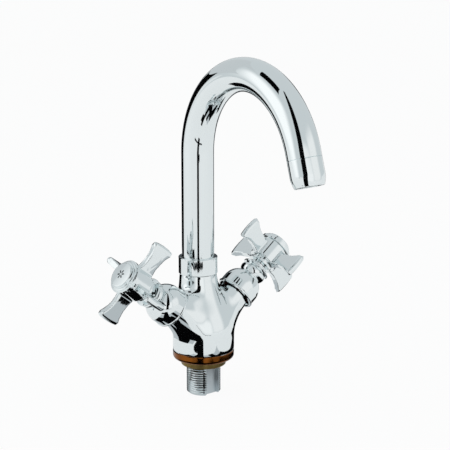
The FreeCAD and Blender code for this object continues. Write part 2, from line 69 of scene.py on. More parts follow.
# materials
def linearColor(hexCode):
    values = [int(hexCode[i:i + 2], 16) / 255 for i in (1, 3, 5)]
    return [v / 12.92 if v <= 0.04045 else ((v + 0.055) / 1.055) ** 2.4 for v in values] + [1]


def addNode(tree, kind, settings=None, links=None):
    # settings: attribute or socket name -> value; links: socket name -> output socket
    node = tree.nodes.new(kind)
    for key, value in (settings or {}).items():
        if hasattr(node, key):
            setattr(node, key, value)
        else:
            node.inputs[key].default_value = value
    for key, output in (links or {}).items():
        tree.links.new(output, node.inputs[key])
    return node


def startMaterial(name):
    material = bpy.data.materials.new(name)
    material.use_nodes = True
    return material, material.node_tree, material.node_tree.nodes["Principled BSDF"]


def chromePlate():
    # bright nickel-chrome over polished brass: cool, mirror-like, with a faint haze where hands wipe it
    look = {"color": "#EAF0F1", "roughness": 0.03, "hazeMm": 9.0, "haze": 0.02}
    material, tree, shader = startMaterial("Chrome plated brass")
    place = addNode(tree, "ShaderNodeTexCoord")
    haze = addNode(tree, "ShaderNodeTexNoise", {"Scale": 1000 / look["hazeMm"], "Detail": 3.0},
                   {"Vector": place.outputs["Object"]})
    spread = addNode(tree, "ShaderNodeMapRange", {"To Min": look["roughness"],
                                                  "To Max": look["roughness"] + look["haze"]},
                     {"Value": haze.outputs["Fac"]})
    shader.inputs["Base Color"].default_value = linearColor(look["color"])
    shader.inputs["Metallic"].default_value = 1
    tree.links.new(spread.outputs["Result"], shader.inputs["Roughness"])
    return material


def metal(name, color, darkColor, roughness, grainMm, grainDepth, fineness=(1, 1, 1)):
    # metal with fine machining or drawing lines: fineness is how much closer they lie along each axis
    material, tree, shader = startMaterial(name)
    place = addNode(tree, "ShaderNodeTexCoord")
    mapped = addNode(tree, "ShaderNodeMapping", {"Scale": fineness}, {"Vector": place.outputs["Object"]})
    grain = addNode(tree, "ShaderNodeTexNoise", {"Scale": 1000 / grainMm, "Detail": 4.0},
                    {"Vector": mapped.outputs["Vector"]})
    tarnish = addNode(tree, "ShaderNodeTexNoise", {"Scale": 1000 / (grainMm * 14), "Detail": 3.0},
                      {"Vector": place.outputs["Object"]})
    tone = addNode(tree, "ShaderNodeMix", {"data_type": "RGBA"}, {"Factor": tarnish.outputs["Fac"]})
    tone.inputs[6].default_value = linearColor(color)
    tone.inputs[7].default_value = linearColor(darkColor)
    rough = addNode(tree, "ShaderNodeMapRange", {"To Min": roughness * 0.7, "To Max": roughness * 1.4},
                    {"Value": grain.outputs["Fac"]})
    relief = addNode(tree, "ShaderNodeBump", {"Strength": 0.4, "Distance": grainDepth * mm},
                     {"Height": grain.outputs["Fac"]})
    shader.inputs["Metallic"].default_value = 1
    tree.links.new(tone.outputs[2], shader.inputs["Base Color"])
    tree.links.new(rough.outputs["Result"], shader.inputs["Roughness"])
    tree.links.new(relief.outputs["Normal"], shader.inputs["Normal"])
    return material


def moulded(name, color, darkColor, roughness, specksMm, depth):
    # rubber, acetal and fibre: no metal in them, a fine moulded skin
    material, tree, shader = startMaterial(name)
    place = addNode(tree, "ShaderNodeTexCoord")
    specks = addNode(tree, "ShaderNodeTexNoise", {"Scale": 1000 / specksMm, "Detail": 3.0},
                     {"Vector": place.outputs["Object"]})
    tone = addNode(tree, "ShaderNodeMix", {"data_type": "RGBA"}, {"Factor": specks.outputs["Fac"]})
    tone.inputs[6].default_value = linearColor(color)
    tone.inputs[7].default_value = linearColor(darkColor)
    relief = addNode(tree, "ShaderNodeBump", {"Strength": 0.3, "Distance": depth * mm},
                     {"Height": specks.outputs["Fac"]})
    shader.inputs["Roughness"].default_value = roughness
    tree.links.new(tone.outputs[2], shader.inputs["Base Color"])
    tree.links.new(relief.outputs["Normal"], shader.inputs["Normal"])
    return material


chrome = chromePlate()
milledChrome = metal("Chrome plate over milled brass", "#E4EAEC", "#D2D9DC", 0.3, 0.5, 0.01, (1, 1, 0.2))
polishedBrass = metal("Polished bare brass", "#9A5A22", "#65370F", 0.13, 0.6, 0.01, (1, 1, 8))
dullBrass = metal("Dull turned brass", "#A08A55", "#7E6A3C", 0.34, 0.5, 0.03, (1, 1, 6))
turnedBrass = metal("Turned brass", "#D2AE64", "#B08A45", 0.22, 0.4, 0.02, (1, 1, 6))
stainless = metal("Turned stainless steel", "#C9CCCE", "#A9ADB0", 0.22, 0.4, 0.01, (1, 1, 6))
blackRubber = moulded("Black nitrile rubber", "#17181A", "#0E0F10", 0.55, 0.8, 0.02)
whiteAcetal = moulded("White acetal", "#E9E9E4", "#DADAD4", 0.38, 1.2, 0.01)
darkEnamel = moulded("Dark grey stove enamel", "#3B4144", "#33393C", 0.3, 0.5, 0.005)
redFibre = moulded("Red vulcanised fibre", "#8E3A2A", "#6E2A1F", 0.7, 0.6, 0.03)
finishFor = {"chrome_plate": chrome, "polished_brass": polishedBrass, "dull_brass": dullBrass,
             "turned_brass": turnedBrass, "stainless_steel": stainless, "black_rubber": blackRubber,
             "white_acetal": whiteAcetal, "red_fibre": redFibre}
for part in frame["record"]["subparts"]:
    node = nodes[part["node"]]
    node.data.materials.clear()
    node.data.materials.append(finishFor[part["material_slot"]])
print("materials made:", len(finishFor))


# modelling helpers
def clearSelection():
    if bpy.context.object and bpy.context.object.mode != "OBJECT":
        bpy.ops.object.mode_set(mode="OBJECT")
    bpy.ops.object.select_all(action="DESELECT")


def selectOnly(*pieces):
    clearSelection()
    for piece in pieces:
        piece.select_set(True)
    bpy.context.view_layer.objects.active = pieces[0]


def settle(piece):
    selectOnly(piece)
    bpy.ops.object.transform_apply(location=True, rotation=True, scale=True)


def applyModifier(piece, kind, **settings):
    selectOnly(piece)
    modifier = piece.modifiers.new(kind.title(), kind)
    for key, value in settings.items():
        setattr(modifier, key, value)
    bpy.ops.object.modifier_apply(modifier=modifier.name)


def cleanMesh(piece, fill=False):
    # merges seams and poles and turns the faces outwards
    selectOnly(piece)
    bpy.ops.object.mode_set(mode="EDIT")
    bpy.ops.mesh.select_all(action="SELECT")
    bpy.ops.mesh.remove_doubles(threshold=0.002 * mm)
    if fill:
        bpy.ops.mesh.fill_holes(sides=0)
    bpy.ops.mesh.normals_make_consistent(inside=False)
    bpy.ops.object.mode_set(mode="OBJECT")


def drawChain(name, points):
    # a chain of edges through points given in millimetres, started from a plane merged to one vertex
    clearSelection()
    start = Vector(points[0]) * mm
    bpy.ops.mesh.primitive_plane_add(size=mm, location=start)
    chain = bpy.context.object
    chain.name = name
    settle(chain)
    bpy.ops.object.mode_set(mode="EDIT")
    bpy.ops.mesh.select_mode(type="VERT")
    bpy.ops.mesh.select_all(action="SELECT")
    bpy.ops.mesh.merge(type="CENTER")
    for here, there in zip(points, points[1:]):
        step = (Vector(there) - Vector(here)) * mm
        bpy.ops.mesh.extrude_region_move(TRANSFORM_OT_translate={"value": step})
    bpy.ops.object.mode_set(mode="OBJECT")
    return chain


def arc(centre, radius, fromDegrees, toDegrees, steps):
    # points on an arc in the plane of the outline, (radius, height)
    turns = [math.radians(fromDegrees + (toDegrees - fromDegrees) * i / steps) for i in range(steps + 1)]
    return [(centre[0] + radius * math.cos(t), centre[1] + radius * math.sin(t)) for t in turns]


def turnPiece(name, outline, closed=True):
    # spins an outline of (radius, height) points about the upright axis, as on a lathe
    outline = list(outline) + ([outline[0]] if closed else [])
    piece = drawChain(name, [(r, 0, h) for r, h in outline])
    bpy.ops.object.mode_set(mode="EDIT")
    bpy.ops.mesh.select_all(action="SELECT")
    bpy.ops.mesh.spin(steps=128, angle=2 * math.pi, center=(0, 0, 0), axis=(0, 0, 1))
    bpy.ops.object.mode_set(mode="OBJECT")
    cleanMesh(piece)
    return piece


def softenEdges(piece, width, segments):
    # the small radius that polishing leaves on every edge
    applyModifier(piece, "BEVEL", width=width * mm, segments=segments, limit_method="ANGLE",
                  angle_limit=math.radians(28))
    selectOnly(piece)
    bpy.ops.object.shade_smooth_by_angle(angle=math.radians(40))
    applyModifier(piece, "WEIGHTED_NORMAL", keep_sharp=True)


def shadeSmooth(piece, angle=50, weighted=False):
    # weighted: flat and straight faces stay flat beside the small radii
    selectOnly(piece)
    bpy.ops.object.shade_smooth_by_angle(angle=math.radians(angle))
    if weighted:
        applyModifier(piece, "WEIGHTED_NORMAL", keep_sharp=True)


def mount(piece, body, node, slotName, finish=None):
    # the piece takes the node's place, rides on its body and gets its finish
    piece.data.materials.clear()
    piece.data.materials.append(finish or finishFor[slotName])
    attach(piece, body)
    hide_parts(node)


# where the valves and the spout stand
valves = {"armHeight": 22.15, "armAngle": 36.8, "turns": {"hot": 2.9, "cold": -16.1}}
spoutStand = {"back": 6.4, "turn": -4.3, "bendStart": 160.4, "bendRadius": 66.8, "bendAngle": 161.6,
              "tail": 4.7, "tubeDiameter": 24.8, "tubeWall": 1.2, "tubeFoot": 77.6, "tubeRings": 8,
              "bendRings": 120}


def putOnArm(piece, side, turned=False):
    turn = valves["turns"][side] if turned else 0
    tilt = Matrix.Rotation(math.radians(90 - valves["armAngle"]), 4, "Y")
    place = Matrix.Translation((0, 0, valves["armHeight"] * mm))
    if side == "cold":
        place = place @ Matrix.Rotation(math.pi, 4, "Z")
    piece.matrix_world = place @ tilt @ Matrix.Rotation(math.radians(turn), 4, "Z")
    settle(piece)


def putAtOutlet(piece):
    # from upright, with the tube's end at height 0, to the end of the spout
    s = spoutStand
    bend = math.radians(s["bendAngle"])
    reach = s["bendRadius"] * (1 - math.cos(bend)) + s["tail"] * math.sin(bend)
    height = s["bendStart"] + s["bendRadius"] * math.sin(bend) + s["tail"] * math.cos(bend)
    stand = Matrix.Translation((0, s["back"] * mm, 0)) @ Matrix.Rotation(math.radians(s["turn"]), 4, "Z")
    end = Matrix.Translation((0, -reach * mm, height * mm)) @ Matrix.Rotation(bend - math.pi, 4, "X")
    piece.matrix_world = stand @ end
    settle(piece)


def putOnSpoutAxis(piece, turned=False):
    turn = spoutStand["turn"] if turned else 0
    piece.matrix_world = (Matrix.Translation((0, spoutStand["back"] * mm, 0))
                          @ Matrix.Rotation(math.radians(turn), 4, "Z"))
    settle(piece)


def makeSpoutTube():
    s = spoutStand
    radius = s["tubeDiameter"] / 2
    clearSelection()
    bpy.ops.mesh.primitive_circle_add(vertices=128, radius=radius * mm, location=(0, 0, s["tubeFoot"] * mm))
    tube = bpy.context.object
    tube.name = "spoutTubeChromed"
    settle(tube)
    bpy.ops.object.mode_set(mode="EDIT")
    bpy.ops.mesh.select_mode(type="VERT")
    bpy.ops.mesh.select_all(action="SELECT")
    rise = (s["bendStart"] - s["tubeFoot"]) * mm
    for i in range(s["tubeRings"]):
        bpy.ops.mesh.extrude_region_move(TRANSFORM_OT_translate={"value": (0, 0, rise / s["tubeRings"])})
    bpy.ops.mesh.spin(steps=s["bendRings"], angle=math.radians(s["bendAngle"]), axis=(-1, 0, 0),
                      center=(0, -s["bendRadius"] * mm, s["bendStart"] * mm))
    bend = math.radians(s["bendAngle"])
    tail = Vector((0, -math.sin(bend), math.cos(bend))) * s["tail"] * mm
    bpy.ops.mesh.extrude_region_move(TRANSFORM_OT_translate={"value": tail})
    bpy.ops.object.mode_set(mode="OBJECT")
    cleanMesh(tube)
    applyModifier(tube, "SOLIDIFY", thickness=s["tubeWall"] * mm, offset=-1)
    shadeSmooth(tube)
    putOnSpoutAxis(tube, turned=True)
    mount(tube, "spout", "spout_tube", "chrome_plate")


makeSpoutTube()


def makeAeratorHousing():
    size = {"diameter": 24.8, "length": 19.9, "straight": 11.8, "mouth": 21.8, "mouthBore": 17.6,
            "mouthRound": 0.8, "bore": 19.2, "lip": 1.4, "seam": 0.45, "threadBore": 22.0,
            "threadDepth": 9.0, "taperPower": 1.7}
    r, m, end, e = size["diameter"] / 2, size["mouth"] / 2, -size["length"], size["mouthRound"]
    outline = [(size["threadBore"] / 2, 0), (r - size["seam"], 0), (r - 0.1, -0.3), (r, -0.8)]
    taper = 14
    outline += [(r - (r - m) * (i / taper) ** size["taperPower"],
                 -size["straight"] + (end + e + size["straight"]) * i / taper) for i in range(taper + 1)]
    outline += arc((m - e, end + e), e, -15, -90, 5)
    outline += [(size["mouthBore"] / 2 + 0.4, end), (size["mouthBore"] / 2, end + 0.4),
                (size["mouthBore"] / 2, end + size["lip"]), (size["bore"] / 2, end + size["lip"]),
                (size["bore"] / 2, -size["threadDepth"]), (size["threadBore"] / 2, -size["threadDepth"])]
    housing = turnPiece("aeratorHousingChromed", outline)
    shadeSmooth(housing, 35, weighted=True)
    putAtOutlet(housing)
    mount(housing, "spout", "aerator_housing", "chrome_plate")


makeAeratorHousing()


def makeCollar():
    size = {"diameter": 30.2, "low": 66.4, "height": 13.4, "bore": 25.1, "threadBore": 26.5,
            "lip": 2.1, "edge": 0.9}
    r, low, high, e = size["diameter"] / 2, size["low"], size["low"] + size["height"], size["edge"]
    outline = [(size["threadBore"] / 2, low), (r - e, low)] + arc((r - e, low + e), e, -75, 0, 5)
    outline += arc((r - e, high - e), e, 0, 75, 5)
    outline += [(r - e, high), (size["bore"] / 2 + 0.3, high), (size["bore"] / 2, high - 0.3),
                (size["bore"] / 2, high - size["lip"]), (size["threadBore"] / 2, high - size["lip"])]
    collar = turnPiece("spoutCollarChromed", outline)
    shadeSmooth(collar, 35, weighted=True)
    putOnSpoutAxis(collar)
    mount(collar, "fixed", "spout_collar", "chrome_plate")


makeCollar()
print("spout made")


bodySize = {"diameter": 47.6, "foot": 6.6, "neckDiameter": 26.4, "neckStart": 66.4, "neckTop": 75.0,
            "shoulder": 29.2, "shoulderStep": 0.4, "stemRings": 28, "armDiameter": 25.0, "armLength": 41.0,
            "armFlare": 51.0, "armRootShare": 0.6, "armRootHeight": 2, "spare": 6.0, "footSpare": 1.2,
            "web": (12.0, 1.0, 42.8), "webRadius": 13.5, "webThin": 0.9,
            "chamber": 21.0, "chamberFloor": 20.0, "socket": 20.0, "socketFloor": 56.4,
            "voxel": 0.55, "smoothing": 120, "hollowSmoothing": 420}


def bodyStem():
    # drum and neck in one: rings stacked from the foot up, moving back to the spout's axis
    b = bodySize
    clearSelection()
    low = b["foot"] - b["footSpare"]
    bpy.ops.mesh.primitive_circle_add(vertices=128, radius=b["diameter"] / 2 * mm, fill_type="NGON",
                                      location=(0, 0, low * mm))
    stem = bpy.context.object
    settle(stem)
    rings = [(b["diameter"] / 2, 0, valves["armHeight"])]
    rise = b["neckStart"] - b["shoulderStep"] - valves["armHeight"]
    for i in range(1, b["stemRings"] + 1):
        share = i / b["stemRings"]
        blend = (1 - math.cos(math.pi * share)) / 2
        rings.append(((b["diameter"] + (b["shoulder"] - b["diameter"]) * blend) / 2,
                      spoutStand["back"] * blend, valves["armHeight"] + rise * share))
    rings.append((b["neckDiameter"] / 2, spoutStand["back"], b["neckStart"]))
    rings.append((b["neckDiameter"] / 2, spoutStand["back"], b["neckTop"] + b["spare"]))
    bpy.ops.object.mode_set(mode="EDIT")
    bpy.ops.mesh.select_all(action="SELECT")
    radius, back, height = b["diameter"] / 2, 0, low
    for nextRadius, nextBack, nextHeight in rings:
        move = (0, (nextBack - back) * mm, (nextHeight - height) * mm)
        bpy.ops.mesh.extrude_region_move(TRANSFORM_OT_translate={"value": move})
        ratio = nextRadius / radius
        centre = (0, nextBack * mm, nextHeight * mm)
        bpy.ops.transform.resize(value=(ratio, ratio, 1), center_override=centre)
        radius, back, height = nextRadius, nextBack, nextHeight
    bpy.ops.object.mode_set(mode="OBJECT")
    cleanMesh(stem, fill=True)
    return stem


def bodyArm(side):
    b = bodySize
    ball, arm, flare = b["diameter"] / 2, b["armDiameter"] / 2, b["armFlare"]
    flareAt = math.sqrt((ball + flare) ** 2 - (arm + flare) ** 2)
    lean = math.degrees(math.atan2(flareAt, arm + flare))
    outline = [(poleRadius, b["armRootHeight"]), (ball * b["armRootShare"], b["armRootHeight"])]
    outline += arc((arm + flare, flareAt), flare, 180 + lean, 180, 24)
    outline += [(arm, b["armLength"] + b["spare"]), (poleRadius, b["armLength"] + b["spare"])]
    piece = turnPiece("arm", outline, closed=False)
    cleanMesh(piece, fill=True)
    putOnArm(piece, side)
    return piece


def bodyWeb(side):
    # the casting's web between an arm and the neck
    b = bodySize
    sign = 1 if side == "hot" else -1
    clearSelection()
    bpy.ops.mesh.primitive_uv_sphere_add(segments=48, ring_count=24, radius=b["webRadius"] * mm)
    web = bpy.context.object
    web.scale = (1, b["webThin"], 1)
    web.location = (sign * b["web"][0] * mm, b["web"][1] * mm, b["web"][2] * mm)
    settle(web)
    return web


def cutFlat(piece, point, normal):
    # cuts off what lies beyond a plane and closes the cut
    selectOnly(piece)
    bpy.ops.object.mode_set(mode="EDIT")
    bpy.ops.mesh.select_all(action="SELECT")
    bpy.ops.mesh.bisect(plane_co=point, plane_no=normal, use_fill=True, clear_outer=True)
    bpy.ops.object.mode_set(mode="OBJECT")


def drill(piece, diameter, low, high, side=None):
    # bores an arm from its open end, or the neck where no side is given; the bit starts 1 mm outside
    clearSelection()
    end = high + 1
    bpy.ops.mesh.primitive_cylinder_add(vertices=96, radius=diameter / 2 * mm, depth=(end - low) * mm,
                                        location=(0, 0, (end + low) / 2 * mm))
    bit = bpy.context.object
    settle(bit)
    if side:
        putOnArm(bit, side)
    else:
        putOnSpoutAxis(bit)
    applyModifier(piece, "BOOLEAN", operation="DIFFERENCE", object=bit, solver="EXACT")
    bpy.data.objects.remove(bit)


def fillHollows(piece, strength):
    # rounds only the hollows between arms, neck and drum, as the casting's fillets do: a smoothed copy
    # shows them, as the vertices that move outwards by more than a little
    leastMove = 0.03 * mm
    probe = piece.copy()
    probe.data = piece.data.copy()
    bpy.context.collection.objects.link(probe)
    applyModifier(probe, "SMOOTH", factor=0.5, iterations=strength // 2)
    hollows = piece.vertex_groups.new(name="hollows")
    inward = [v.index for v in piece.data.vertices
              if (probe.data.vertices[v.index].co - v.co).dot(v.normal) > leastMove]
    hollows.add(inward, 1.0, "REPLACE")
    bpy.data.objects.remove(probe)
    applyModifier(piece, "SMOOTH", factor=0.5, iterations=strength, vertex_group="hollows")


def makeBody():
    b = bodySize
    body = bodyStem()
    body.name = "bodyCastingChromed"
    arms = [bodyArm(side) for side in ("hot", "cold")]
    webs = [bodyWeb(side) for side in ("hot", "cold")]
    selectOnly(body, *arms, *webs)
    bpy.ops.object.join()
    applyModifier(body, "REMESH", mode="VOXEL", voxel_size=b["voxel"] * mm)
    fillHollows(body, b["hollowSmoothing"])
    applyModifier(body, "SMOOTH", factor=0.5, iterations=b["smoothing"])
    cutFlat(body, (0, 0, b["foot"] * mm), (0, 0, -1))
    cutFlat(body, (0, 0, b["neckTop"] * mm), (0, 0, 1))
    for sign in (1, -1):
        along = Vector((sign * math.cos(math.radians(valves["armAngle"])), 0,
                        math.sin(math.radians(valves["armAngle"]))))
        cutFlat(body, Vector((0, 0, valves["armHeight"] * mm)) + along * b["armLength"] * mm, along)
    for side in ("hot", "cold"):
        drill(body, b["chamber"], b["chamberFloor"], b["armLength"], side)
    drill(body, b["socket"], b["socketFloor"], b["neckTop"])
    cleanMesh(body)
    shadeSmooth(body)
    mount(body, "fixed", "body_casting", "chrome_plate")
    print("body made:", len(body.data.polygons), "faces")


makeBody()


def makeBaseRings():
    ring = {"radius": 23.7, "height": 6.6, "round": 3.0, "bore": 13.4}
    r, h, e = ring["radius"], ring["height"], ring["round"]
    outline = [(ring["bore"], 0), (r - e, 0)] + arc((r - e, e), e, -84, 0, 12)
    outline += [(r, h - 0.4), (r - 0.4, h), (ring["bore"], h)]
    base = turnPiece("baseRingBrass", outline)
    shadeSmooth(base, 35, weighted=True)
    mount(base, "fixed", "base_ring", "polished_brass")
    locating = {"radius": 17.3, "height": 4.9, "bore": 13.25, "edge": 0.4}
    r, h, e = locating["radius"], -locating["height"], locating["edge"]
    outline = [(locating["bore"], h), (r - e, h), (r, h + e), (r, 0), (locating["bore"], 0)]
    lower = turnPiece("locatingRingBrass", outline)
    softenEdges(lower, 0.12, 2)
    mount(lower, "fixed", "locating_ring", "dull_brass")


makeBaseRings()


def makeShank():
    # G 3/4 at its real pitch, but 0.8 mm deep instead of 1.16, with the broad crests of the photo
    size = {"radius": 13.2, "pitch": 1.814, "depth": 0.8, "low": -28.0, "top": 6.6, "chamfer": 1.4,
            "keyWidth": 12.4, "keyFloor": 7.9, "portSpacing": 12.4, "portBack": 1.5, "portRadius": 4.5,
            "portDepth": 12.0, "ductRadius": 2.9, "spigotTop": 15.6, "spare": 2,
            "firstTurn": 2.37}
    r, p, d = size["radius"], size["pitch"], size["depth"]
    turns = int((size["top"] - size["low"]) / p) + 5
    start = size["low"] - size["firstTurn"] * p
    tooth = [(r - d, 0), (r - d * 0.85, 0.11 * p), (r - 0.05, 0.31 * p), (r, 0.35 * p), (r, 0.65 * p),
             (r - 0.05, 0.69 * p), (r - d * 0.85, 0.89 * p), (r - d, p)]
    shank = drawChain("mountingShankThreaded", [(x, 0, start + z) for x, z in tooth])
    applyModifier(shank, "SCREW", axis="Z", angle=2 * math.pi, screw_offset=p * mm, iterations=turns,
                  steps=96, render_steps=96)
    cleanMesh(shank, fill=True)
    clear = 0.2
    chamferBlank = turnPiece("blank", [(poleRadius, size["low"]), (r - size["chamfer"], size["low"]),
                                       (r + clear, size["low"] + size["chamfer"] + clear),
                                       (r + clear, size["top"]), (poleRadius, size["top"])], closed=False)
    clearSelection()
    # the keyway is milled from the shank's lower end up to the worktop's plane
    keyHeight, keyDepth, cutLow = size["spare"] - size["low"], 20, size["low"] - size["spare"]
    bpy.ops.mesh.primitive_cube_add(size=1, location=(0, -(size["keyFloor"] + keyDepth / 2) * mm,
                                                      (cutLow + keyHeight / 2) * mm))
    keyway = bpy.context.object
    keyway.scale = (size["keyWidth"] * mm, keyDepth * mm, keyHeight * mm)
    settle(keyway)
    cutters = [keyway]
    for sign in (1, -1):
        for radius, top in ((size["portRadius"], size["low"] + size["portDepth"]),
                            (size["ductRadius"], size["spigotTop"] + 1)):
            clearSelection()
            place = Vector((sign * size["portSpacing"] / 2, size["portBack"], (top + cutLow) / 2)) * mm
            bpy.ops.mesh.primitive_cylinder_add(vertices=64, radius=radius * mm, depth=(top - cutLow) * mm,
                                                location=place)
            settle(bpy.context.object)
            cutters.append(bpy.context.object)
    applyModifier(shank, "BOOLEAN", operation="INTERSECT", object=chamferBlank, solver="EXACT")
    for cutter in cutters:
        applyModifier(shank, "BOOLEAN", operation="DIFFERENCE", object=cutter, solver="EXACT")
    for cutter in [chamferBlank] + cutters:
        bpy.data.objects.remove(cutter)
    cleanMesh(shank)
    shadeSmooth(shank, 24)
    mount(shank, "fixed", "mounting_shank", "chrome_plate")
    shank.data.materials.append(milledChrome)
    # the keyway's own faces keep the cutter's marks
    for face in shank.data.polygons:
        x, y, z = face.center / mm
        if y < 0.1 - size["keyFloor"] and abs(x) < size["keyWidth"] / 2 + 0.05 and z < 0:
            face.material_index = 1
    print("shank made:", len(shank.data.polygons), "faces")


makeShank()


def makeShroud(side):
    size = {"radius": 15.4, "wall": 1.1, "rim": 38.6, "dome": 46.0, "top": 57.2, "topRadius": 9.1,
            "hole": 7.55, "beadHeight": 2.2, "beadOut": 0.6}
    r, rim, dome, top = size["radius"], size["rim"], size["dome"], size["top"]
    lip, w = size["topRadius"], size["wall"]
    domeRadius = ((r - lip) ** 2 + (top - dome) ** 2) / (2 * (r - lip))
    hub = r - domeRadius
    endTurn = math.degrees(math.atan2(top - dome, lip - hub))
    outline = [(r - w, rim), (r - 0.1, rim)]
    beads = 10
    outline += [(r + size["beadOut"] * math.sin(math.pi * i / beads),
                 rim + 0.1 + (size["beadHeight"] - 0.1) * i / beads) for i in range(beads + 1)]
    outline += arc((hub, dome), domeRadius, 0, endTurn, 24)
    outline += [(size["hole"], top), (size["hole"], top - w)]
    inner = math.degrees(math.asin((top - w - dome) / (domeRadius - w)))
    outline += arc((hub, dome), domeRadius - w, inner, 0, 16)
    shroud = turnPiece(side + "ShroudChromed", outline)
    shadeSmooth(shroud, 35, weighted=True)
    putOnArm(shroud, side)
    mount(shroud, "fixed", side + "_shroud", "chrome_plate")


def makeGlandNut(side):
    s = {"foot": 57.2, "top": 69.2, "footRadius": 8.9, "bulbRadius": 10.7, "bulbAt": 62.0,
         "waistRadius": 9.2, "waistAt": 64.3, "flangeRadius": 11.4, "flangeLow": 65.0,
         "flangeHigh": 66.6, "noseRadius": 7.8, "bore": 4.9, "thread": 7.55, "packing": 65.5}
    outline = [(s["thread"], s["foot"]), (s["footRadius"] - 0.3, s["foot"]),
               (s["footRadius"], s["foot"] + 0.3)]
    lower, upper = 10, 8
    outline += [(s["footRadius"] + (s["bulbRadius"] - s["footRadius"]) * math.sin(math.pi / 2 * i / lower),
                 s["foot"] + 0.6 + (s["bulbAt"] - s["foot"] - 0.6) * i / lower) for i in range(lower + 1)]
    outline += [(s["bulbRadius"] - (s["bulbRadius"] - s["waistRadius"]) * (i / upper) ** 2,
                 s["bulbAt"] + (s["waistAt"] - s["bulbAt"]) * i / upper) for i in range(1, upper + 1)]
    outline += [(s["waistRadius"], s["flangeLow"] - 0.1), (s["flangeRadius"] - 0.5, s["flangeLow"] + 0.1)]
    middle = (s["flangeLow"] + s["flangeHigh"]) / 2
    outline += arc((s["flangeRadius"] - 0.7, middle), 0.7, -70, 70, 8)
    outline += [(s["noseRadius"], s["flangeHigh"]), (s["noseRadius"], s["top"] - 0.4),
                (s["noseRadius"] - 0.4, s["top"]), (s["bore"], s["top"]), (s["bore"], s["packing"]),
                (s["thread"], s["packing"])]
    nut = turnPiece(side + "GlandNutChromed", outline)
    shadeSmooth(nut, 35, weighted=True)
    putOnArm(nut, side)
    mount(nut, "fixed", side + "_gland_nut", "chrome_plate")


for side in ("hot", "cold"):
    makeShroud(side)
    makeGlandNut(side)
print("valve covers made")


handle = {"low": 70.6, "skirtRadius": 9.8, "skirtHeight": 2.0, "grooveRadius": 8.5, "barrelLow": 74.4,
          "barrelTop": 90.2, "barrelRadius": 12.0, "rimRadius": 13.3, "rimHeight": 2.2, "stepHeight": 1.3,
          "stepIn": 1.2, "recess": 7.0, "recessFloor": 88.5, "stemBore": 4.85, "sleeve": 8.2,
          "armAt": 80.4, "armReach": 35.2, "armTip": 21.0, "armWaist": 11.8, "armRoot": 14.8,
          "armWaistAt": 22.0, "armThickness": 5.2, "armRound": 2.3, "tipCrown": 1.2, "cornerRound": 2.6,
          "rootInside": 2, "flankPoints": 14, "voxel": 0.34, "smoothing": 18}


def arcThrough(first, middle, last, steps):
    # points on the arc that runs through three points
    (ax, ay), (bx, by), (cx, cy) = first, middle, last
    turn = 2 * (ax * (by - cy) + bx * (cy - ay) + cx * (ay - by))
    a, b, c = ax * ax + ay * ay, bx * bx + by * by, cx * cx + cy * cy
    centre = ((a * (by - cy) + b * (cy - ay) + c * (ay - by)) / turn,
              (a * (cx - bx) + b * (ax - cx) + c * (bx - ax)) / turn)
    start = math.degrees(math.atan2(ay - centre[1], ax - centre[0]))
    end = math.degrees(math.atan2(cy - centre[1], cx - centre[0]))
    return arc(centre, math.dist(first, centre), start, end, steps)


def handleArm():
    # the waisted, flared outline is filled, its tip corners rounded, then thickened and rounded over
    h = handle
    root, tip = h["barrelRadius"] - h["rootInside"], h["armReach"]
    corner = (tip - h["tipCrown"], h["armTip"] / 2)
    flank = arcThrough((root, h["armRoot"] / 2), (h["armWaistAt"], h["armWaist"] / 2), corner, 16)
    # the arc's last points are left out, so that the corner has room for its rounding
    flank = flank[:h["flankPoints"]] + [corner]
    tipEdge = arcThrough(corner, (tip, 0), (corner[0], -corner[1]), 3)[1:-1]
    outline = flank + tipEdge + [(x, -y) for x, y in reversed(flank)]
    arm = drawChain("arm", [(x, y, 0) for x, y in outline + outline[:1]])
    bpy.ops.object.mode_set(mode="EDIT")
    bpy.ops.mesh.select_all(action="SELECT")
    bpy.ops.mesh.remove_doubles(threshold=0.01 * mm)
    bpy.ops.mesh.edge_face_add()
    bpy.ops.object.mode_set(mode="OBJECT")
    for vertex in arm.data.vertices:
        across, aside = abs(vertex.co.x / mm - corner[0]), abs(abs(vertex.co.y / mm) - corner[1])
        vertex.select = max(across, aside) < 0.01
    bpy.ops.object.mode_set(mode="EDIT")
    bpy.ops.mesh.bevel(offset=h["cornerRound"] * mm, segments=6, affect="VERTICES", clamp_overlap=False)
    bpy.ops.mesh.select_all(action="SELECT")
    bpy.ops.mesh.extrude_region_move(TRANSFORM_OT_translate={"value": (0, 0, h["armThickness"] * mm)})
    bpy.ops.mesh.select_all(action="SELECT")
    bpy.ops.mesh.normals_make_consistent(inside=False)
    bpy.ops.mesh.select_all(action="DESELECT")
    bpy.ops.mesh.select_mode(type="EDGE")
    bpy.ops.mesh.edges_select_sharp(sharpness=math.radians(60))
    bpy.ops.mesh.bevel(offset=h["armRound"] * mm, segments=8, affect="EDGES", clamp_overlap=False)
    bpy.ops.mesh.select_mode(type="VERT")
    bpy.ops.object.mode_set(mode="OBJECT")
    arm.matrix_world = (Matrix.Translation((0, h["armThickness"] / 2 * mm, h["armAt"] * mm))
                        @ Matrix.Rotation(math.pi / 2, 4, "X"))
    settle(arm)
    return arm


